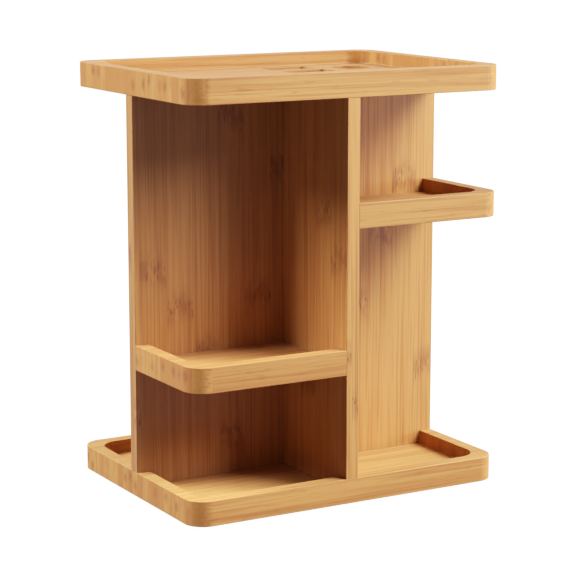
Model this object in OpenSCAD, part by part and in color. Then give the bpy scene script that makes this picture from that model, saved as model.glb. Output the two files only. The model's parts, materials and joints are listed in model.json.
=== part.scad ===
// Lazy susan organizer: a bamboo body of two trays, two crossing panels and three shelves,
// which turns on a stamped steel ball bearing with rubber feet.
// Frame: origin at the centre of the footprint on the table, +Z up along the spin axis,
// -Y to the front, +X to the right.

/* [Body] */
// Width of the trays, left to right
body_w = 251; // [230:1:300]
// Depth of the trays, front to back
body_d = 187; // [180:1:220]
// Height of the wooden body, from the base tray's underside to the top tray's rim
body_h = 305; // [290:1:360]
// Outer corner radius of the trays and shelves
corner_r = 15; // [12:1:20]
// Thickness of the upright panels
panel_t = 10; // [9:0.5:12]

/* [Trays and shelves] */
// Height of a tray's rim or a shelf's rail
tray_h = 18; // [16:1:22]
// Floor left under the milled pocket
floor_t = 8; // [7.5:0.5:9]
// Width of the rim round a pocket
rim_w = 10; // [9:0.5:12]
// Corner radius of the pocket
pocket_r = 15; // [8:1:18]
// Underside of the front left shelf above the base tray's underside
low_shelf_z = 93; // [60:1:150]
// Underside of the right shelves above the base tray's underside
high_shelf_z = 196; // [175:1:210]

/* [Pen openings] */
// Length of each slot, left to right
slot_l = 38.5; // [20:0.5:40]
// Width of each slot, front to back
slot_w = 20; // [10:0.5:20]
// Corner radius of each slot
slot_r = 4; // [1:0.5:5]
// Distance of both slots' centres from the spin axis, to the right
slot_x = 39; // [30:0.5:40]
// Distance of the front slot's centre from the spin axis, to the rear
front_slot_y = 36; // [30:0.5:40]
// Distance of the rear slot's centre from the spin axis, to the rear
rear_slot_y = 66; // [62:0.5:67]
// Diameter of the round hole
hole_d = 30; // [20:0.5:32]
// Distance of the round hole's centre from the spin axis, to the right
hole_x = 85.5; // [80:0.5:86]
// Distance of the round hole's centre from the spin axis, to the rear
hole_y = 51; // [30:0.5:60]

/* [Turntable] */
// Side of the square bearing plates
plate_w = 102; // [100:1:110]
// Height of the bearing over both plates
bearing_h = 8; // [7.6:0.1:8.6]
// Thickness of the plates' steel sheet
sheet_t = 1.2; // [1:0.1:1.3]
// Diameter of a bearing ball
ball_d = 4.76; // [4.5:0.01:4.9]
// Number of bearing balls
ball_n = 16; // [12:1:24]
// Radius of the ball race
race_r = 30; // [27:1:30]
// Height of the rubber feet under the lower plate
foot_h = 3; // [2:0.5:4]

/* [Hidden] */
$fn = 64;

bamboo = [0.84, 0.66, 0.42];
panel_bamboo = [0.82, 0.63, 0.39];
dowel_wood = [0.86, 0.74, 0.56];
zinc = [0.72, 0.73, 0.74];
ball_steel = [0.82, 0.82, 0.84];
nylon = [0.9, 0.89, 0.85];
foot_rubber = [0.12, 0.12, 0.12];

cut = 1;                 // how far a cutter runs past the face it cuts
fit_gap = 0.05;          // radial gap of glued and running fits
lap_gap = 0.1;           // gap on each side of the panels' lap joint

// Heights above the table
bearing_z = foot_h;
base_z = bearing_z + bearing_h;
base_floor_z = base_z + floor_t;
top_tray_z = base_z + body_h - tray_h;
lap_z = (base_floor_z + top_tray_z) / 2;

// Dowels and screws
dowel_r = 3;
dowel_in_tray = 5;
dowel_in_panel = 15;
dowel_chamfer = 0.6;
dowel_edge = 17.5;       // outer dowels' distance from a panel's upright edges
dowel_centre = 38;       // inner dowels' distance from the spin axis
dowel_x = [for (s = [-1, 1], d = [dowel_centre, body_w / 2 - dowel_edge]) s * d];
dowel_y = [for (s = [-1, 1], d = [dowel_centre, body_d / 2 - dowel_edge]) s * d];
shelf_dowel_r = 2.5;
shelf_dowel_in_shelf = 12;
shelf_dowel_in_panel = 5;
panel_screw_x = 72;
panel_screw_y = 60;
panel_screw_r = 2;
panel_screw_head_r = 4;
panel_screw_l = 30;
plate_screw_r = 1.5;
plate_screw_head_r = 3.2;
plate_screw_head_h = 1.8;
plate_screw_in_wood = 6;
recess_w = 0.9;          // bar width of the cross recess in a screw head
recess_h = 1.2;          // depth of the same recess in a pan head
corner_xy = plate_w / 2 - 8;

// Bearing, measured upward from the lower plate's underside
half_h = bearing_h / 2;
plateau_gap = 2.4;       // gap between the two plates round the balls
plateau_r = 34.5;
step_run = 2.4;          // how far out the sheet slopes from its plateau to its flange
plate_corner_r = 6;
groove_r = ball_d / 2 + fit_gap;
eyelet_r = 4;
eyelet_bore_r = 3;
eyelet_head_r = 6.5;
eyelet_head_t = 0.7;
washer_t = 0.4;
washer_r = 7.5;
retainer_t = 0.8;
retainer_half_w = 3.6;
ball_pocket_gap = 0.15;
foot_r = 7;
foot_chamfer = 1;
foot_taper = 0.5;        // how much the pad narrows towards the plate
foot_stem_r = 2;
foot_barb_r = 2.8;
foot_barb_tip_r = 1.5;
foot_barb_h = 1.4;

// ---- Shared shapes ----

module rounded_rect(w, d, r) {
    square([w - 2 * r, d], center = true);
    square([w, d - 2 * r], center = true);
    for (sx = [-1, 1], sy = [-1, 1])
        translate([sx * (w / 2 - r), sy * (d / 2 - r)]) circle(r);
}

// A board with a pocket milled into its top, its underside at z = 0
module tray_board() {
    difference() {
        linear_extrude(tray_h) rounded_rect(body_w, body_d, corner_r);
        translate([0, 0, floor_t])
            linear_extrude(tray_h - floor_t + cut)
                rounded_rect(body_w - 2 * rim_w, body_d - 2 * rim_w, pocket_r);
    }
}

// The quarter of a tray on the side sx (-1 left, 1 right) and the end sy (-1 front, 1 rear),
// cut off at the faces of the panels
module shelf_board(sx, sy, z) {
    w = body_w / 2 - panel_t / 2;
    d = body_d / 2 - panel_t / 2;
    difference() {
        translate([0, 0, z])
            intersection() {
                tray_board();
                translate([sx * (panel_t + w) / 2, sy * (panel_t + d) / 2, tray_h / 2])
                    cube([w, d, tray_h + 2 * cut], center = true);
            }
        shelf_dowel_places(sx, sy, z) shelf_dowel(fit_gap);
    }
}

// A board that stands on the base tray's floor and rim, in the X-Z plane; span is its full
// length
module panel_board(span) {
    difference() {
        translate([-span / 2, -panel_t / 2, base_floor_z])
            cube([span, panel_t, top_tray_z - base_floor_z]);
        for (s = [-1, 1])
            translate([s * span / 2, 0, base_z + tray_h / 2])
                cube([2 * (rim_w + lap_gap), panel_t + 2 * cut, tray_h], center = true);
    }
}

// Chamfered round dowel along +Z from z = 0; gap widens it into the hole it sits in
module dowel(r, l, gap = 0) {
    rotate_extrude()
        polygon([[0, -gap], [r - dowel_chamfer + gap, -gap], [r + gap, dowel_chamfer - gap],
                 [r + gap, l - dowel_chamfer + gap], [r - dowel_chamfer + gap, l + gap],
                 [0, l + gap]]);
}

// ---- Places of the fasteners ----

// Where the long panel and the cross panel take a dowel into a tray
module panel_points(xs, ys) {
    for (x = xs) translate([x, 0, 0]) children();
    for (y = ys) translate([0, y, 0]) children();
}

module corner_points(z) {
    for (sx = [-1, 1], sy = [-1, 1])
        translate([sx * corner_xy, sy * corner_xy, z]) children();
}

module base_dowel_places() {
    translate([0, 0, base_floor_z - dowel_in_tray]) panel_points(dowel_x, dowel_y) children();
}

module top_dowel_places() {
    translate([0, 0, top_tray_z - dowel_in_panel]) panel_points(dowel_x, dowel_y) children();
}

// Places in the rail and in the floor of a shelf, on its face towards the cross panel
module cross_side_places(sx, sy, z) {
    turn = [0, sx * 90, 0];
    x = sx * (panel_t / 2 - shelf_dowel_in_panel);
    translate([x, sy * (body_d / 2 - rim_w / 2), z + tray_h / 2]) rotate(turn) children();
    translate([x, sy * body_d / 4, z + floor_t / 2]) rotate(turn) children();
}

// The same on its face towards the long panel
module long_side_places(sx, sy, z) {
    turn = [-sy * 90, 0, 0];
    y = sy * (panel_t / 2 - shelf_dowel_in_panel);
    translate([sx * (body_w / 2 - rim_w / 2), y, z + tray_h / 2]) rotate(turn) children();
    translate([sx * body_w / 4, y, z + floor_t / 2]) rotate(turn) children();
}

module shelf_dowel_places(sx, sy, z) {
    cross_side_places(sx, sy, z) children();
    long_side_places(sx, sy, z) children();
}

module shelf_dowel(gap = 0) {
    dowel(shelf_dowel_r, shelf_dowel_in_shelf + shelf_dowel_in_panel, gap);
}

// The two dowels that run through the long panel into both right shelves
module through_dowel_places() {
    z = base_z + high_shelf_z;
    y = panel_t / 2 + shelf_dowel_in_shelf;
    translate([body_w / 2 - rim_w / 2, y, z + tray_h / 2]) rotate([90, 0, 0]) children();
    translate([body_w / 4, y, z + floor_t / 2]) rotate([90, 0, 0]) children();
}

module through_dowel(gap = 0) {
    dowel(shelf_dowel_r, panel_t + 2 * shelf_dowel_in_shelf, gap);
}

module panel_screw_places() {
    translate([0, 0, base_z])
        panel_points([-panel_screw_x, panel_screw_x], [-panel_screw_y, panel_screw_y])
            children();
}

// ---- Screws ----

// Cross recess cut into a head whose face is at z = 0
module cross_recess(w, depth) {
    for (a = [0, 90])
        rotate(a) translate([0, 0, depth / 2 - cut / 2])
            cube([w, recess_w, depth + cut], center = true);
}

// Countersunk wood screw, head face at z = 0 and point up
module countersunk_body(gap = 0) {
    cone_h = panel_screw_head_r - panel_screw_r;
    rotate_extrude()
        polygon([[0, 0], [panel_screw_head_r + gap, 0], [panel_screw_r + gap, cone_h],
                 [panel_screw_r + gap, panel_screw_l - 2 * panel_screw_r],
                 [0, panel_screw_l + gap]]);
}

// Pan-head screw, the underside of its head at z = 0 and point up
module pan_head_shank(l, gap = 0) {
    rotate_extrude()
        polygon([[0, 0], [plate_screw_r + gap, 0], [plate_screw_r + gap, l - plate_screw_r],
                 [0, l + gap]]);
}

// ---- Wooden nodes ----

module base_tray() {
    color(bamboo)
        difference() {
            translate([0, 0, base_z]) tray_board();
            base_dowel_places() dowel(dowel_r, dowel_in_tray + dowel_in_panel, fit_gap);
            panel_screw_places() countersunk_body(fit_gap);
            corner_points(base_z) pan_head_shank(plate_screw_in_wood, fit_gap);
        }
}

module top_tray() {
    color(bamboo)
        difference() {
            translate([0, 0, top_tray_z]) tray_board();
            for (y = [front_slot_y, rear_slot_y])
                translate([slot_x, y, top_tray_z - cut])
                    linear_extrude(floor_t + 2 * cut) rounded_rect(slot_l, slot_w, slot_r);
            translate([hole_x, hole_y, top_tray_z - cut])
                cylinder(h = floor_t + 2 * cut, d = hole_d);
            top_dowel_places() dowel(dowel_r, dowel_in_tray + dowel_in_panel, fit_gap);
        }
}

// Every hole that the fasteners need in a panel
module panel_holes() {
    base_dowel_places() dowel(dowel_r, dowel_in_tray + dowel_in_panel, fit_gap);
    top_dowel_places() dowel(dowel_r, dowel_in_tray + dowel_in_panel, fit_gap);
    panel_screw_places() countersunk_body(fit_gap);
}

module long_panel() {
    color(panel_bamboo)
        difference() {
            panel_board(body_w);
            translate([0, 0, (lap_z + top_tray_z + cut) / 2])
                cube([panel_t + 2 * lap_gap, panel_t + 2 * cut, top_tray_z + cut - lap_z],
                     center = true);
            panel_holes();
            long_side_places(-1, -1, base_z + low_shelf_z) shelf_dowel(fit_gap);
            through_dowel_places() through_dowel(fit_gap);
        }
}

module cross_panel() {
    color(panel_bamboo)
        difference() {
            rotate(90) panel_board(body_d);
            translate([0, 0, (base_floor_z - cut + lap_z + lap_gap) / 2])
                cube([panel_t + 2 * cut, panel_t + 2 * lap_gap,
                      lap_z + lap_gap - base_floor_z + cut], center = true);
            panel_holes();
            cross_side_places(-1, -1, base_z + low_shelf_z) shelf_dowel(fit_gap);
            for (sy = [-1, 1])
                cross_side_places(1, sy, base_z + high_shelf_z) shelf_dowel(fit_gap);
        }
}

module front_left_shelf() { color(bamboo) shelf_board(-1, -1, base_z + low_shelf_z); }

module front_right_shelf() { color(bamboo) shelf_board(1, -1, base_z + high_shelf_z); }

module rear_right_shelf() { color(bamboo) shelf_board(1, 1, base_z + high_shelf_z); }

// ---- Fasteners ----

module base_dowels() {
    color(dowel_wood) base_dowel_places() dowel(dowel_r, dowel_in_tray + dowel_in_panel);
}

module top_dowels() {
    color(dowel_wood) top_dowel_places() dowel(dowel_r, dowel_in_tray + dowel_in_panel);
}

module shelf_dowels() {
    color(dowel_wood) {
        shelf_dowel_places(-1, -1, base_z + low_shelf_z) shelf_dowel();
        for (sy = [-1, 1]) cross_side_places(1, sy, base_z + high_shelf_z) shelf_dowel();
    }
}

module through_dowels() {
    color(dowel_wood) through_dowel_places() through_dowel();
}

module panel_screws() {
    color(zinc)
        panel_screw_places()
            difference() {
                countersunk_body();
                cross_recess(panel_screw_head_r, panel_screw_r);
            }
}

module plate_screws() {
    color(zinc)
        corner_points(base_z - sheet_t)
            difference() {
                union() {
                    pan_head_shank(sheet_t + plate_screw_in_wood);
                    translate([0, 0, -plate_screw_head_h])
                        cylinder(h = plate_screw_head_h, r = plate_screw_head_r);
                }
                translate([0, 0, -plate_screw_head_h])
                    cross_recess(plate_screw_head_r, recess_h);
            }
}

// ---- Turntable ----

// Stamped plate with its flange at z = 0: the sheet steps up to a round plateau, which has a
// groove for the balls pressed into it
module bearing_plate(corner_hole_r) {
    centre_r = eyelet_r + fit_gap;
    low = half_h - plateau_gap / 2 - sheet_t;
    high = low + sheet_t;
    opening_r = plateau_r + step_run - cut / 2;
    difference() {
        union() {
            difference() {
                linear_extrude(sheet_t) rounded_rect(plate_w, plate_w, plate_corner_r);
                translate([0, 0, -cut]) cylinder(h = sheet_t + 2 * cut, r = opening_r);
            }
            rotate_extrude()
                polygon([[centre_r, low], [plateau_r - sheet_t / 2, low],
                         [plateau_r + step_run - sheet_t / 2, 0], [opening_r + cut, 0],
                         [opening_r + cut, sheet_t], [plateau_r + step_run, sheet_t],
                         [plateau_r, high], [centre_r, high]]);
            rotate_extrude()
                difference() {
                    translate([race_r, half_h]) circle(groove_r + sheet_t);
                    translate([0, low + sheet_t / 2]) square([2 * race_r, bearing_h]);
                }
        }
        translate([0, 0, half_h]) rotate_extrude() translate([race_r, 0]) circle(groove_r);
        corner_points(-cut) cylinder(h = sheet_t + 2 * cut, r = corner_hole_r);
    }
}

module lower_plate() {
    color(zinc) translate([0, 0, bearing_z]) bearing_plate(foot_stem_r + fit_gap);
}

module upper_plate() {
    color(zinc)
        translate([0, 0, base_z])
            mirror([0, 0, 1]) bearing_plate(plate_screw_r + fit_gap);
}

// Hollow rivet: its heads close round the lower plate, the upper plate and the washer
module center_eyelet() {
    reach = plateau_gap / 2 + sheet_t;
    low = half_h - reach - eyelet_head_t;
    high = half_h + reach + washer_t + 2 * fit_gap;
    color(zinc)
        translate([0, 0, bearing_z])
            rotate_extrude()
                polygon([[eyelet_bore_r, low], [eyelet_head_r, low],
                         [eyelet_head_r, low + eyelet_head_t], [eyelet_r, low + eyelet_head_t],
                         [eyelet_r, high], [eyelet_head_r, high],
                         [eyelet_head_r, high + eyelet_head_t],
                         [eyelet_bore_r, high + eyelet_head_t]]);
}

module eyelet_washer() {
    color(nylon)
        translate([0, 0, bearing_z + half_h + plateau_gap / 2 + sheet_t + fit_gap])
            difference() {
                cylinder(h = washer_t, r = washer_r);
                translate([0, 0, -cut]) cylinder(h = washer_t + 2 * cut, r = eyelet_r + fit_gap);
            }
}

module ball_places() {
    for (i = [0 : ball_n - 1])
        rotate(i * 360 / ball_n) translate([race_r, 0, bearing_z + half_h]) children();
}

module ball_retainer() {
    color(nylon)
        difference() {
            translate([0, 0, bearing_z + half_h - retainer_t / 2])
                difference() {
                    cylinder(h = retainer_t, r = race_r + retainer_half_w);
                    translate([0, 0, -cut])
                        cylinder(h = retainer_t + 2 * cut, r = race_r - retainer_half_w);
                }
            ball_places()
                cylinder(h = retainer_t + 2 * cut, r = ball_d / 2 + ball_pocket_gap,
                         center = true);
        }
}

module bearing_balls() {
    color(ball_steel) ball_places() sphere(d = ball_d);
}

// Push-in foot: a tapered pad below the plate, a stem through it and a barb above it
module rubber_feet() {
    color(foot_rubber)
        corner_points(0)
            rotate_extrude()
                polygon([[0, 0], [foot_r - foot_chamfer, 0], [foot_r, foot_chamfer],
                         [foot_r - foot_taper, foot_h], [foot_stem_r, foot_h],
                         [foot_stem_r, foot_h + sheet_t], [foot_barb_r, foot_h + sheet_t],
                         [foot_barb_tip_r, foot_h + sheet_t + foot_barb_h],
                         [0, foot_h + sheet_t + foot_barb_h]]);
}

base_tray();
top_tray();
long_panel();
cross_panel();
front_left_shelf();
front_right_shelf();
rear_right_shelf();
base_dowels();
top_dowels();
shelf_dowels();
through_dowels();
panel_screws();
upper_plate();
plate_screws();
lower_plate();
center_eyelet();
eyelet_washer();
ball_retainer();
bearing_balls();
rubber_feet();
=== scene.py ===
"""Looks of the lazy susan organizer: bamboo boards, turntable, studio light and camera.

Everything is in metres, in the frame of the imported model: origin at the centre of the footprint
on the table, +Z up along the spin axis, -Y to the front.
"""

import json
import math

import bmesh
import bpy
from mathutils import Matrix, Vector
from mathutils.geometry import tessellate_polygon


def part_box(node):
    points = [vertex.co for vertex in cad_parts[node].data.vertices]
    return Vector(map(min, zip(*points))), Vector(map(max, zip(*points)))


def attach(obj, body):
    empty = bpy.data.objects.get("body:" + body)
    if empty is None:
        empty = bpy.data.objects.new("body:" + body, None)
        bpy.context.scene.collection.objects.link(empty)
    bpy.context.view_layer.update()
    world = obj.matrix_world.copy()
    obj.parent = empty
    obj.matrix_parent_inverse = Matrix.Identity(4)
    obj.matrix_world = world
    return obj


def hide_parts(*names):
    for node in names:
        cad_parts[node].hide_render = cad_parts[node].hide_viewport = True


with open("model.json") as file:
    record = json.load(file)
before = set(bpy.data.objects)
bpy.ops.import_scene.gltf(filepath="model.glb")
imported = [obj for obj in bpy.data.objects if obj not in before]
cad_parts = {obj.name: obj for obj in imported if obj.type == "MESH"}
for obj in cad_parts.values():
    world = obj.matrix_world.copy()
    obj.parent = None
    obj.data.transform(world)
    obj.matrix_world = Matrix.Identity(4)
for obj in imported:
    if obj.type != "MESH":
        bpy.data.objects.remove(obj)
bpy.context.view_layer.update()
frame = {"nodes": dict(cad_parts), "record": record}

MM = 0.001

# Boards
RIM_W = 10 * MM
CORNER_R = 15 * MM
POCKET_R = 15 * MM
EDGE_R = 0.5 * MM            # rounding of the trays' and shelves' edges
PANEL_EDGE_R = 0.4 * MM      # rounding of the panels' upright edges
JOINT_EDGE_R = 0.12 * MM     # panel edges that meet another board stay crisp
POCKET_FILLET_R = 0.8 * MM   # cove at the foot of a pocket wall
CORNER_STEPS = 14
EDGE_STEPS = 4
LAP_GAP = 0.1 * MM
SHARP_ANGLE = math.radians(40)
MERGE_DIST = 1e-6
CUT_DIST = 1e-7
FACE_AREA_WEIGHT = 100       # large faces alone decide the shading next to a rounded edge

# Pen openings in the top tray's floor
SLOT_SIZE = (38.5 * MM, 20 * MM)
SLOT_AT = ((39 * MM, 36 * MM), (39 * MM, 66 * MM))
SLOT_CORNER_R = 4 * MM
HOLE_AT = (85.5 * MM, 51 * MM)
HOLE_R = 15 * MM
OPENING_EDGE_R = 0.3 * MM

# Countersunk screw holes in the base tray
SCREW_HEAD_R = 4 * MM
SCREW_SHANK_R = 2 * MM
SCREW_GAP = 0.05 * MM

BASE_LO, BASE_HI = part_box("base_tray")
TOP_LO, TOP_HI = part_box("top_tray")
LONG_LO, LONG_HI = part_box("long_panel")
_, CROSS_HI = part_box("cross_panel")
FLOOR_T = LONG_LO.z - BASE_LO.z
PANEL_HALF_T = LONG_HI.y


# ---- Mesh helpers ----

def rounded_loop(half_x, half_y, radius, z, centre=(0.0, 0.0)):
    """Points of a rounded rectangle, anticlockwise from above."""
    loop = []
    for quarter, (sx, sy) in enumerate(((1, 1), (-1, 1), (-1, -1), (1, -1))):
        for step in range(CORNER_STEPS + 1):
            angle = math.radians(90 * (quarter + step / CORNER_STEPS))
            x = sx * (half_x - radius) + radius * math.cos(angle)
            y = sy * (half_y - radius) + radius * math.sin(angle)
            loop.append((centre[0] + x, centre[1] + y, z))
    return loop


def quarter_turn(radius):
    """(across, along) offsets of a quarter circle that leaves a face and joins the next one."""
    for step in range(EDGE_STEPS + 1):
        angle = math.radians(90 * step / EDGE_STEPS)
        yield radius * (1 - math.cos(angle)), radius * (1 - math.sin(angle))


def add_loop(bm, points):
    return [bm.verts.new(p) for p in points]


def bridge(bm, loops):
    """Quads between each loop and the next; every loop has the same number of points."""
    for a, b in zip(loops, loops[1:]):
        n = len(a)
        for i in range(n):
            j = (i + 1) % n
            bm.faces.new((a[i], a[j], b[j], b[i]))


def cap(bm, outer, holes=(), flip=False):
    """Flat face inside the loop outer, with holes."""
    if not holes:
        bm.faces.new(list(reversed(outer)) if flip else outer)
        return
    verts = [v for loop in (outer, *holes) for v in loop]
    triangles = tessellate_polygon([[v.co for v in loop] for loop in (outer, *holes)])
    for tri in triangles:
        face = [verts[i] for i in tri]
        a, b, c = (v.co for v in face)
        up = (b - a).cross(c - a).z > 0
        bm.faces.new(face if up != flip else list(reversed(face)))


def finish_mesh(bm, name):
    """Turns bm into an object whose large faces stay flat and whose edges look round."""
    bmesh.ops.recalc_face_normals(bm, faces=bm.faces)
    mesh = bpy.data.meshes.new(name)
    bm.to_mesh(mesh)
    bm.free()
    mesh.shade_smooth()
    mesh.set_sharp_from_angle(angle=SHARP_ANGLE)
    piece = bpy.data.objects.new(name, mesh)
    bpy.context.scene.collection.objects.link(piece)
    return piece


def weigh_normals(piece):
    normals = piece.modifiers.new("flat_faces", "WEIGHTED_NORMAL")
    normals.mode = "FACE_AREA"
    normals.weight = FACE_AREA_WEIGHT
    normals.keep_sharp = True


# ---- Bamboo boards ----

def tray_loops(lo, hi):
    """Loops from a tray's underside, over its rim, to its pocket floor."""
    half_x, half_y = (hi.x - lo.x) / 2, (hi.y - lo.y) / 2
    floor_z = lo.z + FLOOR_T
    loops = []
    turns = list(quarter_turn(EDGE_R))
    for inset, rise in reversed(turns):
        loops.append(rounded_loop(half_x - inset, half_y - inset, CORNER_R - inset, lo.z + rise))
    for inset, drop in turns:
        loops.append(rounded_loop(half_x - inset, half_y - inset, CORNER_R - inset, hi.z - drop))
    for drop, outset in turns:
        half = (half_x - RIM_W + outset, half_y - RIM_W + outset)
        loops.append(rounded_loop(*half, POCKET_R + outset, hi.z - drop))
    for inset, rise in quarter_turn(POCKET_FILLET_R):
        half = (half_x - RIM_W - inset, half_y - RIM_W - inset)
        loops.append(rounded_loop(*half, POCKET_R - inset, floor_z + rise))
    return loops


def opening(half_x, half_y, radius, centre, lo_z, hi_z):
    """Loops of one opening down through a floor, rounded where it meets the floor's faces."""
    turns = list(quarter_turn(OPENING_EDGE_R))
    steps = [(outset, hi_z - drop) for drop, outset in turns]
    steps += [(outset, lo_z + rise) for outset, rise in turns]
    return [rounded_loop(half_x + grow, half_y + grow, radius + grow, z, centre)
            for grow, z in steps]


def pen_openings(lo_z, hi_z):
    """The loops of the two slots and the round hole."""
    half_x, half_y = SLOT_SIZE[0] / 2, SLOT_SIZE[1] / 2
    slots = [opening(half_x, half_y, SLOT_CORNER_R, centre, lo_z, hi_z) for centre in SLOT_AT]
    hole = opening(HOLE_R, HOLE_R, HOLE_R, HOLE_AT, lo_z, hi_z)
    return [*slots, hole]


def screw_openings():
    """Loops of the countersunk holes that the panel screws run up through."""
    lo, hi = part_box("panel_screws")
    reach_x, reach_y = hi.x - SCREW_HEAD_R, hi.y - SCREW_HEAD_R
    head, shank = SCREW_HEAD_R + SCREW_GAP, SCREW_SHANK_R + SCREW_GAP
    steps = ((shank, lo.z + FLOOR_T), (shank, lo.z + head - shank), (head, lo.z))
    openings = []
    for centre in ((reach_x, 0), (-reach_x, 0), (0, reach_y), (0, -reach_y)):
        openings.append([rounded_loop(r, r, r, z, centre) for r, z in steps])
    return openings


def tray_mesh(lo, hi, openings=()):
    """A tray as one closed mesh: rounded board, milled pocket and any openings in its floor."""
    bm = bmesh.new()
    body = [add_loop(bm, points) for points in tray_loops(lo, hi)]
    bridge(bm, body)
    holes = [[add_loop(bm, points) for points in loops] for loops in openings]
    for loops in holes:
        bridge(bm, loops)
    cap(bm, body[0], [loops[-1] for loops in holes], flip=True)
    cap(bm, body[-1], [loops[0] for loops in holes])
    bmesh.ops.remove_doubles(bm, verts=bm.verts, dist=MERGE_DIST)
    return bm


def cut_away(bm, point, normal):
    """Cuts off what lies beyond the plane and closes the cut."""
    geometry = list(bm.verts) + list(bm.edges) + list(bm.faces)
    bmesh.ops.bisect_plane(bm, geom=geometry, dist=CUT_DIST, plane_co=point,
                           plane_no=normal, clear_outer=True)
    open_edges = [e for e in bm.edges if e.is_boundary]
    bmesh.ops.edgeloop_fill(bm, edges=open_edges)


def shelf_mesh(node):
    """A shelf is the quarter of a tray that its CAD node takes up."""
    lo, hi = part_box(node)
    bm = tray_mesh(Vector((BASE_LO.x, BASE_LO.y, lo.z)), Vector((BASE_HI.x, BASE_HI.y, hi.z)))
    side = 1 if hi.x > PANEL_HALF_T else -1
    end = 1 if hi.y > PANEL_HALF_T else -1
    cut_away(bm, (side * PANEL_HALF_T, 0, 0), (-side, 0, 0))
    cut_away(bm, (0, end * PANEL_HALF_T, 0), (0, -end, 0))
    return bm


def inset_outline(outline, share):
    """The outline with each side moved inwards by share times its own edge radius."""
    n = len(outline)
    points = []
    for i in range(n):
        u, v, radius = outline[i]
        pu, pv, previous_radius = outline[i - 1]
        nu, nv, _ = outline[(i + 1) % n]
        before = Vector((u - pu, v - pv)).normalized()
        after = Vector((nu - u, nv - v)).normalized()
        shift = share * (previous_radius * Vector((-before.y, before.x))
                         + radius * Vector((-after.y, after.x)))
        points.append((u + shift.x, v + shift.y))
    return points


def panel_outline(half_span, lap_from_top):
    """A panel's outline as (along, height, rounding of the side that starts there)."""
    rim_z, floor_z, roof_z = BASE_HI.z, LONG_LO.z, LONG_HI.z
    foot = half_span - RIM_W - LAP_GAP
    lap_z = (floor_z + roof_z) / 2
    lap = PANEL_HALF_T + LAP_GAP
    crisp, soft = JOINT_EDGE_R, PANEL_EDGE_R
    right = [(foot, floor_z, crisp), (foot, rim_z, crisp), (half_span, rim_z, soft),
             (half_span, roof_z, crisp)]
    left = [(-half_span, roof_z, soft), (-half_span, rim_z, crisp), (-foot, rim_z, crisp),
            (-foot, floor_z, crisp)]
    if lap_from_top:
        slot = [(lap, roof_z, crisp), (lap, lap_z, crisp), (-lap, lap_z, crisp),
                (-lap, roof_z, crisp)]
        return right + slot + left
    lap_z += LAP_GAP
    slot = [(-lap, floor_z, crisp), (-lap, lap_z, crisp), (lap, lap_z, crisp),
            (lap, floor_z, crisp)]
    return right + left + slot


def panel_mesh(outline, place):
    """Panel swept through its thickness, its face edges rounded by each side's own radius."""
    bm = bmesh.new()
    turns = list(quarter_turn(1.0))
    loops = [(share, -PANEL_HALF_T + depth * PANEL_EDGE_R) for share, depth in reversed(turns)]
    loops += [(share, PANEL_HALF_T - depth * PANEL_EDGE_R) for share, depth in turns]
    rings = []
    for share, offset in loops:
        points = inset_outline(outline, share)
        rings.append(add_loop(bm, [place(u, v, offset) for u, v in points]))
    bridge(bm, rings)
    cap(bm, rings[0], flip=True)
    cap(bm, rings[-1])
    return bm


def build_boards(finishes):
    """Every bamboo board, standing for the CAD node of the same name."""
    top_openings = pen_openings(TOP_LO.z, TOP_LO.z + FLOOR_T)
    boards = {
        "base_tray": tray_mesh(BASE_LO, BASE_HI, screw_openings()),
        "top_tray": tray_mesh(TOP_LO, TOP_HI, top_openings),
        "long_panel": panel_mesh(panel_outline(LONG_HI.x, True), lambda u, v, w: (u, w, v)),
        "cross_panel": panel_mesh(panel_outline(CROSS_HI.y, False), lambda u, v, w: (w, u, v)),
    }
    for node in ("front_left_shelf", "front_right_shelf", "rear_right_shelf"):
        boards[node] = shelf_mesh(node)
    for node, bm in boards.items():
        piece = finish_mesh(bm, "bamboo_" + node)
        weigh_normals(piece)
        piece.data.materials.append(finishes[node])
        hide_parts(node)
        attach(piece, "carousel")


# ---- Shader graphs ----

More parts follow.
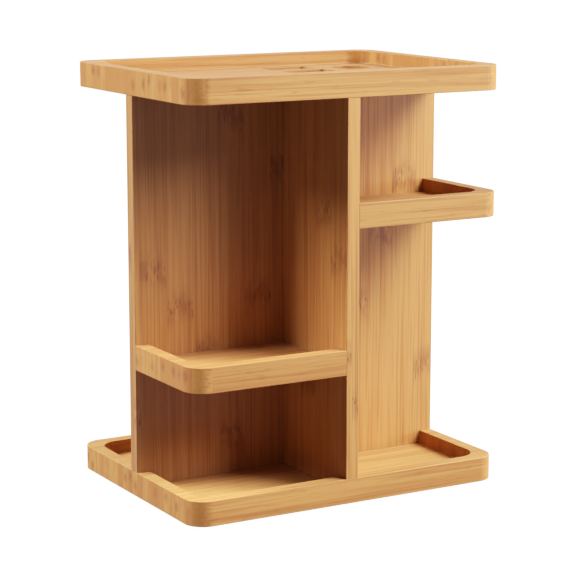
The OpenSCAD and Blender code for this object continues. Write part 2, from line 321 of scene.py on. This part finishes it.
class Graph:
    """Short calls for the nodes of one material. Values may be numbers or node outputs."""

    def __init__(self, name):
        self.material = bpy.data.materials.new(name)
        self.material.use_nodes = True
        self.tree = self.material.node_tree
        self.tree.nodes.clear()

    def put(self, socket, value):
        if isinstance(value, bpy.types.NodeSocket):
            self.tree.links.new(value, socket)
        elif value is not None:
            socket.default_value = value

    def node(self, kind, inputs=None, **settings):
        made = self.tree.nodes.new("ShaderNode" + kind)
        for key, value in settings.items():
            setattr(made, key, value)
        for key, value in (inputs or {}).items():
            self.put(made.inputs[key], value)
        return made

    def math(self, operation, a, b=None, c=None):
        made = self.node("Math", operation=operation)
        for socket, value in zip(made.inputs, (a, b, c)):
            self.put(socket, value)
        return made.outputs[0]

    def add(self, a, b):
        return self.math("ADD", a, b)

    def mul(self, a, b):
        return self.math("MULTIPLY", a, b)

    def sub(self, a, b):
        return self.math("SUBTRACT", a, b)

    def scale_add(self, a, b, c):
        return self.math("MULTIPLY_ADD", a, b, c)

    def ramp(self, value, low, high, to_low=0.0, to_high=1.0):
        """Smooth step from low to high."""
        made = self.node("MapRange", interpolation_type="SMOOTHSTEP")
        for key, v in (("Value", value), ("From Min", low), ("From Max", high),
                       ("To Min", to_low), ("To Max", to_high)):
            self.put(made.inputs[key], v)
        return made.outputs["Result"]

    def vector(self, x, y, z):
        return self.node("CombineXYZ", {"X": x, "Y": y, "Z": z}).outputs[0]

    def noise(self, vector, scale=1.0, detail=2.0, roughness=0.5):
        made = self.node("TexNoise", {"Vector": vector, "Scale": scale, "Detail": detail,
                                      "Roughness": roughness})
        return made.outputs[0]

    def random(self, vector):
        """Three random numbers for each whole-numbered vector."""
        made = self.node("TexWhiteNoise", {"Vector": vector}, noise_dimensions="3D")
        return self.node("SeparateXYZ", {"Vector": made.outputs["Color"]}).outputs

    def mix(self, factor, a, b, blend="MIX"):
        made = self.node("Mix", data_type="RGBA", blend_type=blend)
        self.put(made.inputs[0], factor)
        self.put(made.inputs[6], a)
        self.put(made.inputs[7], b)
        return made.outputs[2]

    def bump(self, height, strength, distance):
        made = self.node("Bump", {"Height": height, "Strength": strength, "Distance": distance})
        return made.outputs[0]

    def surface(self, **inputs):
        """Principled surface; underscores in a name stand for spaces."""
        shader = self.node("BsdfPrincipled",
                           {k.replace("_", " "): v for k, v in inputs.items()})
        output = self.node("OutputMaterial", {"Surface": shader.outputs[0]})
        output.is_active_output = True
        return self.material


# ---- Bamboo ----

# Finished colours, linear
PALE = (0.435, 0.212, 0.064, 1)
HONEY = (0.385, 0.176, 0.048, 1)
TAN = (0.335, 0.136, 0.036, 1)
GOLD = (0.435, 0.197, 0.043, 1)        # rounded corners, between long and end grain
FIBRE = (0.21, 0.07, 0.018, 1)
KNUCKLE = (0.13, 0.038, 0.013, 1)
SLOT_CORNER_SHADE = (0.06, 0.025, 0.008, 1)       # painted shade in the rounded corners of the slots
PANEL_EDGE_TINT = (0.9, 0.89, 0.9, 1)

# Painted light and shade: tints of the trays' and shelves' faces that look up, which darken them as
# if shaded or brighten them as if sunlit
FAINTLY_SHADED = (0.91, 0.91, 0.98, 1)
SHADED = (0.66, 0.69, 0.9, 1)
HALF_SHADED = (0.88, 0.89, 0.96, 1)
SUNLIT = (1.12, 1.24, 1.36, 1)

# Sizes in the wood, in millimetres like all places below
PANEL_STRIP_W = 21.0
PANEL_PLY_W = 5.0
TRAY_STRIP_W = 8.2
TRAY_PLY_W = 400.0           # far more than a board's thickness, so it has one ply
KNUCKLE_GAP = 235.0          # from one growth joint to the next along the cane
KNUCKLE_H = 28.0             # how far its dashes scatter along the cane
KNUCKLE_LEAN = 16.0          # most that a knuckle may rise from one side of a strip to the other
KNUCKLE_BOW = 18.0           # four times its rise at the sides of a strip
DASH_W = 1.1
DASH_REACH = (1.5, 5.0)      # half lengths of the shortest and the longest dash
STAIN_SIZE = (3.8, 5.3)      # half width and half height of the ovals on end faces
STAIN_SPREAD = 9.0           # range of their heights
HAIRLINE_W = 0.35            # dark glue line on each side of a joint between strips
SLOT_SHADE_END = 2.0             # how far past the slots the painted shade stops
PORE_DEPTH = 0.12            # relief of the streaks

# Streaks: waves per millimetre along the grain, across it and across it on end faces, and the
# roughness of their noise
BROAD_STREAKS = (0.006, 0.26, 0.02, 0.5)
LINE_STREAKS = (0.008, 0.75, 0.06, 0.6)
FINE_STREAKS = (0.03, 2.2, 0.25, 0.6)

# How strongly each mark covers the colour below it, from 0 to 1. The limits of the ramps in
# the functions below are shares from 0 to 1 too: of noise, of chance, or of how squarely a
# face looks along an axis.
END_STREAKS = 0.45           # streaks on end faces, as a share of those on long faces
SMUDGE = 0.38
DASH = 0.7
FLECK = 0.22
STAIN = 0.5
CORNER = 0.6
# painted shade in the slots' corners
SLOT_SHADE_STRENGTH = 0.5

# How far the strips' tones differ, and the lacquer's roughness and specular level
PANEL_SPREAD = 0.6
TRAY_SPREAD = 0.4
PANEL_LACQUER = (0.4, 0.4)
TRAY_LACQUER = (0.54, 0.3)
SATIN = 0.06                 # how far the roughness varies to each side

# Fixed shifts that keep plies, strips and marks from lining up
PLY_START = 0.13
PLY_SHIFT = 0.37
SEED_SHIFT = 0.31
STRIP_SHIFT = 90
STAIN_SHIFT = (17.5, 3.5, 0.5)
FLECK_SHIFT = 7.7


class Laminate:
    """Places in a laminated board.

    axes names the grain's axis, the axis across the strips and the axis through the plies.
    """

    def __init__(self, g, axes, strip_w, ply_w, seed, middle=0.0):
        coordinates = g.node("TexCoord").outputs
        at = g.node("SeparateXYZ", {"Vector": coordinates["Object"]}).outputs
        facing = g.node("SeparateXYZ", {"Vector": coordinates["Normal"]}).outputs
        self.along, self.across, self.through = (g.mul(at[axis], 1 / MM) for axis in axes)
        self.look_along, self.look_across, _ = (g.math("ABSOLUTE", facing[axis]) for axis in axes)
        self.end_face = g.ramp(self.look_along, 0.8, 0.85)
        self.up_face = g.ramp(facing["Z"], 0.3, 0.9)
        self.strip_w = strip_w
        self.from_middle = g.sub(self.through, middle)
        ply = g.math("FLOOR", g.add(g.math("DIVIDE", self.through, ply_w), PLY_START + seed))
        strip_at = g.scale_add(ply, PLY_SHIFT, g.add(g.math("DIVIDE", self.across, strip_w),
                                                     SEED_SHIFT * seed))
        self.strip_id = g.vector(g.math("FLOOR", strip_at), ply, float(seed))
        self.inside = g.math("FRACT", strip_at)
        self.luck = g.random(self.strip_id)
        self.own = g.mul(self.luck[2], STRIP_SHIFT)


def streaks(g, wood, lengthwise, crosswise, end_crosswise, roughness):
    """Streaks that run with the grain; on an end face they stand upright."""
    depth = g.mul(wood.through, g.ramp(wood.end_face, 0, 1, crosswise, end_crosswise))
    place = g.vector(g.mul(wood.along, lengthwise),
                     g.scale_add(wood.across, crosswise, wood.own), depth)
    return g.noise(place, roughness=roughness)


def grain(g, wood):
    """Broad, line and fine streaks."""
    return [streaks(g, wood, *size) for size in (BROAD_STREAKS, LINE_STREAKS, FINE_STREAKS)]


def knuckle_rows(g, wood):
    """Number of the nearest growth joint and the distance from it, which leans and bows."""
    turn = g.add(g.math("DIVIDE", wood.along, KNUCKLE_GAP), wood.luck[1])
    offset = g.mul(g.sub(g.math("FRACT", turn), 0.5), KNUCKLE_GAP)
    from_middle = g.sub(wood.inside, 0.5)
    lean = g.mul(g.sub(wood.luck[2], 0.5), KNUCKLE_LEAN)
    bow = g.mul(g.mul(from_middle, from_middle), KNUCKLE_BOW)
    return g.math("FLOOR", turn), g.add(g.scale_add(from_middle, lean, offset), bow)


def knuckle_dashes(g, wood, row, offset):
    """A ragged row of short dashes across a strip at each growth joint."""
    sway = g.noise(g.vector(g.mul(wood.along, 0.2), wood.own, 0.0), detail=1.0)
    sideways = g.math("DIVIDE", g.scale_add(wood.inside, wood.strip_w,
                                            g.add(wood.through, sway)), DASH_W)
    dice = g.random(g.vector(g.math("FLOOR", sideways), row, wood.own))
    shortest, longest = DASH_REACH
    reach = g.scale_add(dice[0], longest - shortest, shortest)
    miss = g.math("ABSOLUTE", g.scale_add(g.sub(dice[1], 0.5), KNUCKLE_H / 2, offset))
    dash = g.ramp(miss, reach, g.mul(reach, 0.3))
    dash = g.mul(dash, g.ramp(g.math("PINGPONG", sideways, 0.5), 0.0, 0.35))
    return g.mul(dash, g.ramp(dice[2], 0.25, 0.8))


def knuckle_smudge(g, wood, offset):
    """A cloudy darkening round each growth joint."""
    cloud = g.noise(g.vector(g.mul(wood.along, 0.1), g.mul(wood.across, 0.22), wood.own))
    near = g.math("ABSOLUTE", offset)
    return g.mul(g.ramp(near, KNUCKLE_H * 0.62, 1.0), g.ramp(cloud, 0.32, 0.6))


def stains(g, wood):
    """Oval marks where a strip's growth joint shows on its end."""
    dice = g.random(g.node("VectorMath", {0: wood.strip_id, 1: STAIN_SHIFT},
                           operation="ADD").outputs[0])
    side = g.math("DIVIDE", g.mul(g.sub(wood.inside, 0.5), wood.strip_w), STAIN_SIZE[0])
    rise = g.math("DIVIDE", g.scale_add(g.sub(dice[0], 0.5), STAIN_SPREAD, wood.from_middle),
                  STAIN_SIZE[1])
    oval = g.math("SQRT", g.add(g.mul(side, side), g.mul(rise, rise)))
    cloud = g.noise(g.vector(g.mul(wood.across, 0.5), g.mul(wood.through, 0.3), wood.own))
    spot = g.mul(g.ramp(oval, 1.2, 0.1), g.ramp(cloud, 0.2, 0.55))
    return g.mul(g.mul(spot, g.ramp(dice[1], 0.3, 0.9)), wood.end_face)


def flecks(g, wood):
    """Short dark streaks scattered along the grain of a board's long faces."""
    long_face = g.ramp(wood.look_along, 0.5, 0.2)
    cloud = g.noise(g.vector(g.mul(wood.along, 0.075), g.mul(wood.across, 0.42),
                             g.scale_add(wood.through, 0.42, FLECK_SHIFT)))
    return g.mul(g.ramp(cloud, 0.6, 0.74), long_face)


def in_slots(g, wood):
    """1 as far out as the slots reach, 0 beyond, where a tray's own corners are."""
    reach = (SLOT_AT[0][0] + SLOT_SIZE[0] / 2) / MM
    return g.ramp(g.math("ABSOLUTE", wood.along), reach + SLOT_SHADE_END, reach + SLOT_SHADE_END / 2)


def bamboo_colour(g, wood, broad, line, fine, paleness, spread):
    """Strips whose tone differs by spread, with pale and dark streaks, weaker on end faces."""
    strength = g.ramp(wood.end_face, 0, 1, 1.0, END_STREAKS)
    tone = g.add(g.scale_add(g.sub(wood.luck[0], 0.5), spread, 0.5),
                 g.mul(g.sub(broad, 0.5), 1.6))
    colour = g.mix(g.ramp(tone, 0.1, 0.9), PALE, HONEY)
    colour = g.mix(g.ramp(broad, 0.46, 0.68, 0.0, 0.6), colour, TAN)
    colour = g.mix(g.mul(g.ramp(line, 0.5, 0.66, 0.0, 0.42), strength), colour, FIBRE)
    colour = g.mix(g.ramp(line, 0.48, 0.34, 0.0, 0.35), colour, PALE)
    colour = g.mix(g.mul(g.ramp(fine, 0.5, 0.72, 0.0, 0.24), strength), colour, FIBRE)
    hairline = g.mul(g.math("PINGPONG", wood.inside, 0.5), wood.strip_w)
    colour = g.mix(g.ramp(hairline, HAIRLINE_W, 0.05, 0.0, 0.2), colour, FIBRE)
    return g.mix(1.0, colour, (paleness, paleness, paleness, 1), blend="MULTIPLY")


def bamboo_surface(g, colour, line, fine, marks, lacquer):
    """Thin satin lacquer over the pores of the grain."""
    roughness, specular = lacquer
    height = g.sub(g.scale_add(line, -0.6, g.mul(fine, -0.4)), g.mul(marks, 0.4))
    satin = g.ramp(fine, 0.3, 0.7, roughness - SATIN, roughness + SATIN)
    return g.surface(Base_Color=colour, Roughness=satin, Specular_IOR_Level=specular,
                     Normal=g.bump(height, 0.3, PORE_DEPTH * MM))


def panel_bamboo(name, axes, seed, paleness):
    """Upright panels: two plies of wide strips with knuckles."""
    g = Graph(name)
    wood = Laminate(g, axes, PANEL_STRIP_W, PANEL_PLY_W, seed)
    broad, line, fine = grain(g, wood)
    row, offset = knuckle_rows(g, wood)
    dashes = knuckle_dashes(g, wood, row, offset)
    colour = bamboo_colour(g, wood, broad, line, fine, paleness, PANEL_SPREAD)
    upright_edge = g.ramp(wood.look_across, 0.5, 0.9)
    colour = g.mix(upright_edge, colour, PANEL_EDGE_TINT, blend="MULTIPLY")
    colour = g.mix(g.mul(knuckle_smudge(g, wood, offset), SMUDGE), colour, KNUCKLE)
    colour = g.mix(g.mul(dashes, DASH), colour, KNUCKLE)
    return bamboo_surface(g, colour, line, fine, dashes, PANEL_LACQUER)


def tray_bamboo(name, node, seed, paleness, painted_top_light):
    """Solid board of narrow strips: streaked along X, banded and stained on its ends, with painted
    shade in its slots' corners, and with painted light and shade on the faces that look up."""
    g = Graph(name)
    lo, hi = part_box(node)
    wood = Laminate(g, "XYZ", TRAY_STRIP_W, TRAY_PLY_W, seed, middle=(lo.z + hi.z) / 2 / MM)
    broad, line, fine = grain(g, wood)
    marks = g.add(g.mul(flecks(g, wood), FLECK), g.mul(stains(g, wood), STAIN))
    colour = bamboo_colour(g, wood, broad, line, fine, paleness, TRAY_SPREAD)
    corner = g.mul(g.ramp(wood.look_along, 0.2, 0.6), g.sub(1.0, wood.end_face))
    colour = g.mix(g.mul(corner, CORNER), colour, GOLD)
    # painted shade on the rounded corner walls of the two slots
    colour = g.mix(g.mul(g.mul(corner, in_slots(g, wood)), SLOT_SHADE_STRENGTH), colour, SLOT_CORNER_SHADE)
    band = g.mul(g.ramp(wood.luck[1], 0.2, 0.8, 0.1, 0.8), wood.end_face)
    colour = g.mix(band, colour, TAN)
    # painted shade on the faces that look up, and painted light on the base tray's
    colour = g.mix(wood.up_face, colour, painted_top_light, blend="MULTIPLY")
    colour = g.mix(marks, colour, KNUCKLE)
    return bamboo_surface(g, colour, line, fine, marks, TRAY_LACQUER)


def board_finishes():
    """Bamboo for each board, with its own seed, its paleness and, on trays, the light and shade
    painted on its upward faces.
    """
    finishes = {
        "base_tray": tray_bamboo("bamboo_base", "base_tray", 1, 1.02, SUNLIT),
        "top_tray": tray_bamboo("bamboo_top", "top_tray", 2, 0.97, SHADED),
        "long_panel": panel_bamboo("bamboo_long", "ZXY", 12, 0.97),
        "cross_panel": panel_bamboo("bamboo_cross", "ZYX", 10, 1.13),
        "front_left_shelf": tray_bamboo("bamboo_shelf_low", "front_left_shelf", 5, 1.03, FAINTLY_SHADED),
        "front_right_shelf": tray_bamboo("bamboo_shelf_high", "front_right_shelf", 6, 0.94,
                                         HALF_SHADED),
    }
    finishes["rear_right_shelf"] = finishes["front_right_shelf"]
    return finishes


# ---- Hardware finishes ----

# Finished colours, linear: the two that each material varies between
ZINC = ((0.5, 0.52, 0.54, 1), (0.66, 0.66, 0.64, 1))
BALLS = ((0.72, 0.73, 0.75, 1), (0.8, 0.8, 0.8, 1))
NYLON = ((0.78, 0.77, 0.7, 1), (0.86, 0.85, 0.8, 1))
RUBBER = ((0.012, 0.012, 0.013, 1), (0.035, 0.034, 0.032, 1))
BIRCH = ((0.62, 0.46, 0.27, 1), (0.74, 0.6, 0.39, 1))
FINE_RELIEF = 0.05 * MM
RUBBER_RELIEF = 0.08 * MM


def speckle(g, scale):
    """Fine noise in the object's own space."""
    return g.noise(g.node("TexCoord").outputs["Object"], scale=scale, detail=4.0)


def zinc_steel():
    g = Graph("zinc_plated_steel")
    blotch = speckle(g, 260.0)
    brush = speckle(g, 3000.0)
    colour = g.mix(g.ramp(blotch, 0.35, 0.65), *ZINC)
    return g.surface(Base_Color=colour, Metallic=1.0, Roughness=g.ramp(blotch, 0.3, 0.7, 0.3, 0.46),
                     Normal=g.bump(brush, 0.12, FINE_RELIEF))


def ball_steel():
    g = Graph("polished_ball_steel")
    haze = speckle(g, 900.0)
    return g.surface(Base_Color=g.mix(haze, *BALLS), Metallic=1.0,
                     Roughness=g.ramp(haze, 0.3, 0.7, 0.08, 0.16))


def moulded_nylon():
    g = Graph("moulded_nylon")
    texture = speckle(g, 2400.0)
    colour = g.mix(speckle(g, 300.0), *NYLON)
    return g.surface(Base_Color=colour, Roughness=g.ramp(texture, 0.3, 0.7, 0.42, 0.55),
                     Subsurface_Weight=0.1, Subsurface_Scale=1 * MM,
                     Normal=g.bump(texture, 0.15, FINE_RELIEF))


def foot_rubber():
    g = Graph("foot_rubber")
    texture = speckle(g, 1800.0)
    dust = speckle(g, 240.0)
    colour = g.mix(g.ramp(dust, 0.45, 0.7), *RUBBER)
    return g.surface(Base_Color=colour, Roughness=g.ramp(texture, 0.3, 0.7, 0.62, 0.8),
                     Normal=g.bump(texture, 0.3, RUBBER_RELIEF))


def dowel_birch():
    g = Graph("dowel_wood")
    at = g.node("TexCoord").outputs["Object"]
    rings = g.noise(at, scale=700.0, detail=3.0)
    return g.surface(Base_Color=g.mix(rings, *BIRCH), Roughness=0.7,
                     Normal=g.bump(rings, 0.3, FINE_RELIEF))


def finish_hardware():
    """Carried-over CAD nodes keep their shape and take a finish by material slot."""
    by_slot = {"zinc_steel": zinc_steel(), "ball_steel": ball_steel(), "nylon": moulded_nylon(),
               "foot_rubber": foot_rubber(), "dowel_wood": dowel_birch()}
    for part in frame["record"]["subparts"]:
        if part["material_slot"] in by_slot:
            mesh = frame["nodes"][part["node"]].data
            mesh.materials.clear()
            mesh.materials.append(by_slot[part["material_slot"]])


# ---- Studio ----

FLOOR_HALF = 6.0
NEAR_GLOW = 0.985            # own brightness of the paper next to the object; 1 further out
GLOW_FADE = (0.25, 0.7)      # distances between which that brightness rises
PAPER = ((0.088, 0.088, 0.088, 1), (0.092, 0.092, 0.092, 1))
TARGET = Vector((0.0, 0.0, 0.15))      # what the lights face
# name: azimuth from the front, positive to the right, and elevation in degrees, distance and
# side in metres, power in watts
LIGHTS = {
    "key": (44, 41, 3.2, 1.9, 168),
    "left": (-113, 44, 3.2, 1.6, 152),
    "low_right": (57, 6, 3.2, 0.8, 40),
    "rear_right": (110, 28, 3.2, 1.0, 8),
}
WORLD_STRENGTH = 0.05
WORLD_IN_GLOSS = 0.4         # brightness that reflections show of the surroundings
FLOOR_IN_GLOSS = 0.35        # and their share of the paper's own brightness
TONE_TOE = 1.15
TONE_SHOULDER = 2.0
SHADE_WARMTH = 0.135         # share of green that the deepest shades lose
SHADE_LIMIT = 0.2            # light at which green is whole again
TONE_POINTS = (0.01, 0.04, 0.1, 0.2, 0.35, 0.55, 0.8)
SHADE_POINTS = (0.01, 0.03, 0.05, 0.08, 0.11, 0.14, 0.17, 0.2, 0.25, 0.35, 0.5, 0.8)

CAMERA_AT = (-0.71984, -1.25797, 0.42374)
CAMERA_YAW = 29.827
CAMERA_PITCH = 10.666
CAMERA_LENS = 125.4
CAMERA_SENSOR = 36.0
CAMERA_CLIP = (0.05, 30.0)


def add_light(name, azimuth, elevation, distance, side, power):
    lamp = bpy.data.lights.new(name, "AREA")
    lamp.size = side
    lamp.energy = power
    holder = bpy.data.objects.new(name, lamp)
    a, e = math.radians(azimuth), math.radians(elevation)
    back = Vector((math.sin(a) * math.cos(e), -math.cos(a) * math.cos(e), math.sin(e)))
    holder.location = TARGET + back * distance
    holder.rotation_mode = "QUATERNION"
    holder.rotation_quaternion = back.to_track_quat("Z", "Y")
    holder.visible_camera = False
    bpy.context.scene.collection.objects.link(holder)


def build_lights():
    for name, values in LIGHTS.items():
        add_light(name, *values)


def floor_material():
    """White paper sweep that shows a faint contact shadow and throws little light back."""
    g = Graph("paper_floor")
    fibre = speckle(g, 40.0)
    paper = g.node("BsdfDiffuse", {"Color": g.mix(fibre, *PAPER)}).outputs[0]
    away = g.node("VectorMath", {0: g.node("NewGeometry").outputs["Position"]},
                  operation="LENGTH").outputs["Value"]
    glow_strength = g.ramp(away, *GLOW_FADE, NEAR_GLOW, 1.0)
    glow = g.node("Emission", {"Color": (1, 1, 1, 1), "Strength": glow_strength}).outputs[0]
    rays = g.node("LightPath").outputs
    seen_share = g.scale_add(rays["Is Glossy Ray"], FLOOR_IN_GLOSS, rays["Is Camera Ray"])
    lit = g.node("AddShader", {0: paper, 1: glow}).outputs[0]
    seen = g.node("MixShader", {0: seen_share, 1: paper, 2: lit}).outputs[0]
    g.node("OutputMaterial", {"Surface": seen})
    return g.material


def build_floor():
    bm = bmesh.new()
    corners = ((-1, -1), (1, -1), (1, 1), (-1, 1))
    bm.faces.new([bm.verts.new((x * FLOOR_HALF, y * FLOOR_HALF, 0)) for x, y in corners])
    mesh = bpy.data.meshes.new("floor")
    bm.to_mesh(mesh)
    bm.free()
    floor = bpy.data.objects.new("floor", mesh)
    bpy.context.scene.collection.objects.link(floor)
    mesh.materials.append(floor_material())


def build_world():
    """White surroundings for the camera and in reflections, but dim as a light."""
    world = bpy.data.worlds.new("studio")
    bpy.context.scene.world = world
    world.use_nodes = True
    tree = world.node_tree
    tree.nodes.clear()
    path = tree.nodes.new("ShaderNodeLightPath")
    glossy = tree.nodes.new("ShaderNodeMath")
    glossy.operation = "MULTIPLY_ADD"
    tree.links.new(path.outputs["Is Glossy Ray"], glossy.inputs[0])
    glossy.inputs[1].default_value = WORLD_IN_GLOSS
    glossy.inputs[2].default_value = WORLD_STRENGTH
    strength = tree.nodes.new("ShaderNodeMath")
    strength.operation = "MAXIMUM"
    tree.links.new(path.outputs["Is Camera Ray"], strength.inputs[0])
    tree.links.new(glossy.outputs[0], strength.inputs[1])
    background = tree.nodes.new("ShaderNodeBackground")
    background.inputs["Color"].default_value = (1, 1, 1, 1)
    tree.links.new(strength.outputs[0], background.inputs["Strength"])
    output = tree.nodes.new("ShaderNodeOutputWorld")
    tree.links.new(background.outputs[0], output.inputs["Surface"])


def build_camera():
    data = bpy.data.cameras.new("camera")
    data.lens = CAMERA_LENS
    data.sensor_width = CAMERA_SENSOR
    data.clip_start, data.clip_end = CAMERA_CLIP
    camera = bpy.data.objects.new("camera", data)
    yaw, pitch = math.radians(CAMERA_YAW), math.radians(CAMERA_PITCH)
    ahead = Vector((math.sin(yaw) * math.cos(pitch), math.cos(yaw) * math.cos(pitch),
                    -math.sin(pitch)))
    camera.location = CAMERA_AT
    camera.rotation_mode = "QUATERNION"
    camera.rotation_quaternion = ahead.to_track_quat("-Z", "Y")
    bpy.context.scene.collection.objects.link(camera)
    bpy.context.scene.camera = camera


def film(light):
    """Film-like response: deep shades, and bright wood that keeps its detail."""
    toe = light ** TONE_TOE
    return (1 + TONE_SHOULDER) * toe / (1 + TONE_SHOULDER * toe)


def warm_shade(light):
    """Green response: shaded wood turns redder."""
    shade = max(0.0, 1 - (light / SHADE_LIMIT) ** 2)
    return light * (1 - SHADE_WARMTH * shade)


def set_tone():
    view = bpy.context.scene.view_settings
    view.view_transform = "Standard"
    view.look = "None"
    view.use_curve_mapping = True
    _, green, _, combined = view.curve_mapping.curves
    for light in TONE_POINTS:
        combined.points.new(light, film(light))
    for light in SHADE_POINTS:
        green.points.new(light, warm_shade(light))
    view.curve_mapping.update()


build_boards(board_finishes())
finish_hardware()
build_floor()
build_world()
build_lights()
build_camera()
set_tone()
